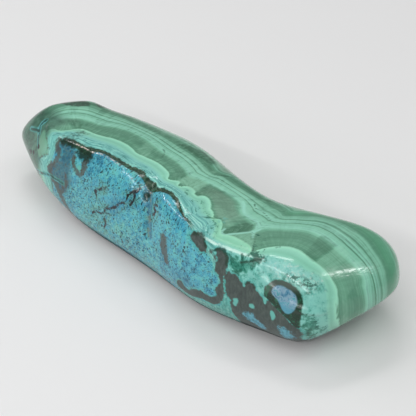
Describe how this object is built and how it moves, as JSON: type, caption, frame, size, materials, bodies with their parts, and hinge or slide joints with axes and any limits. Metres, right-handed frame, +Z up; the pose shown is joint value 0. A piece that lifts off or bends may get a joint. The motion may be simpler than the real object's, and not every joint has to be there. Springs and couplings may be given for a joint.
{
  "type": "chrysocolla specimen",
  "caption": "Long polished mineral freeform of blue chrysocolla in banded green malachite, tapered at one end and blunt at the other, lying on a flat ground sole.",
  "frame": {"origin": "the middle of the footprint's bounding rectangle, at the height of the flat sole", "axes": "+X along the stone towards its blunt end, +Y towards the banded malachite back, +Z up; the blue chrysocolla side faces -Y"},
  "size_m": [0.1676, 0.058, 0.036],
  "materials": {
    "polished_stone": "polished"
  },
  "bodies": {
    "root": {"polished_stone": "polished_stone"}
  },
  "joints": []
}
